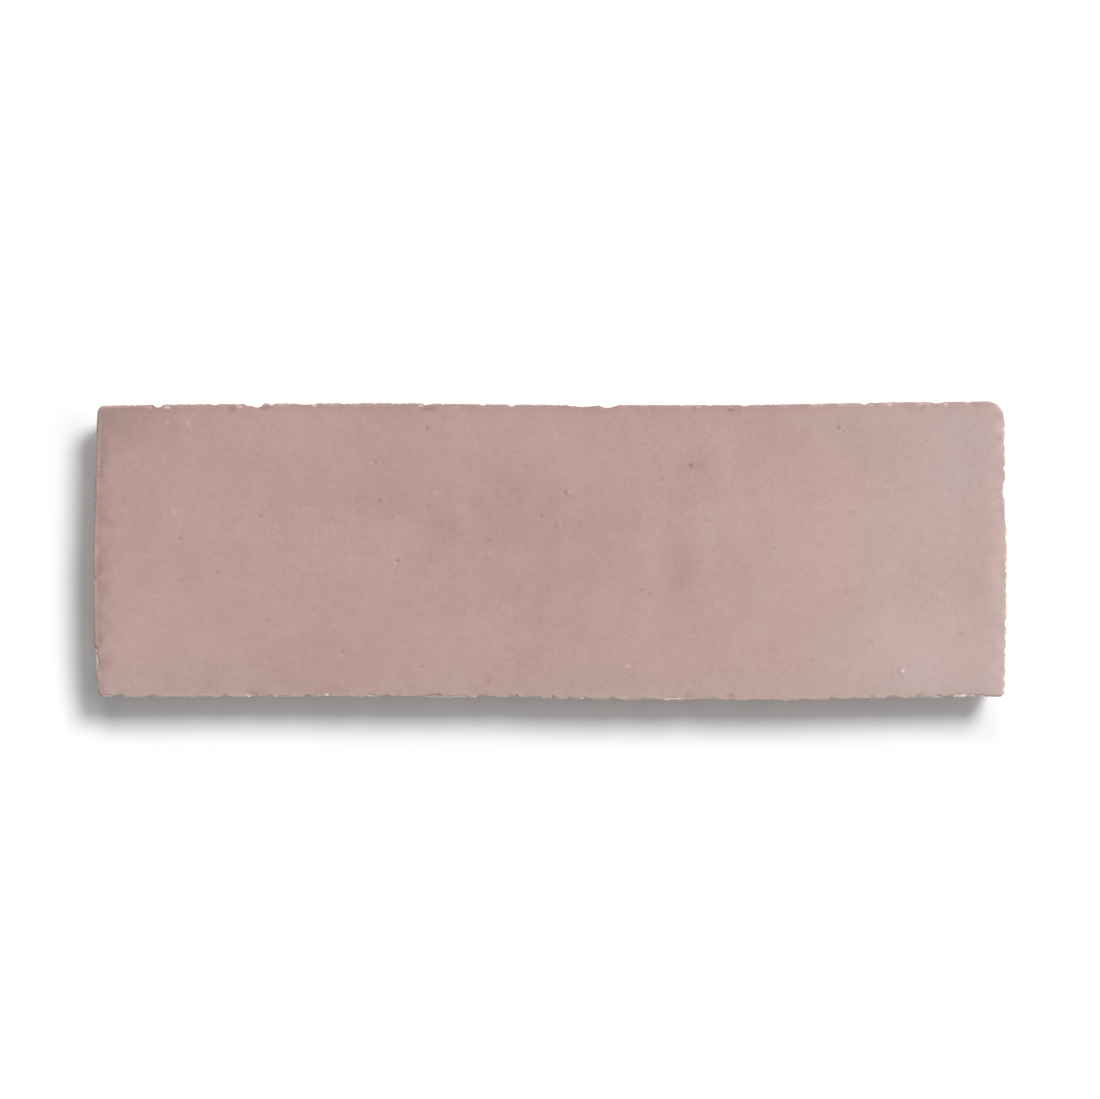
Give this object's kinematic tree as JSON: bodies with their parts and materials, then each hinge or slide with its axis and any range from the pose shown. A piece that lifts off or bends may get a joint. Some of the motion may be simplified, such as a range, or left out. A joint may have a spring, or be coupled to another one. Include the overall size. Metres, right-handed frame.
{
  "type": "subway wall tile",
  "caption": "Long glazed clay wall tile with a wavy satin face, hand-cut chipped edges and sides that lean in to a flat bedding back.",
  "frame": {"origin": "on the back, under the middle of the face", "axes": "+X along the length, +Y across the width, +Z out of the glazed face"},
  "size_m": [0.2012, 0.0661, 0.0102],
  "materials": {
    "glazed_clay": "satin dusty pink glaze over pale cream clay"
  },
  "bodies": {
    "root": {"tile": "glazed_clay"}
  },
  "joints": []
}
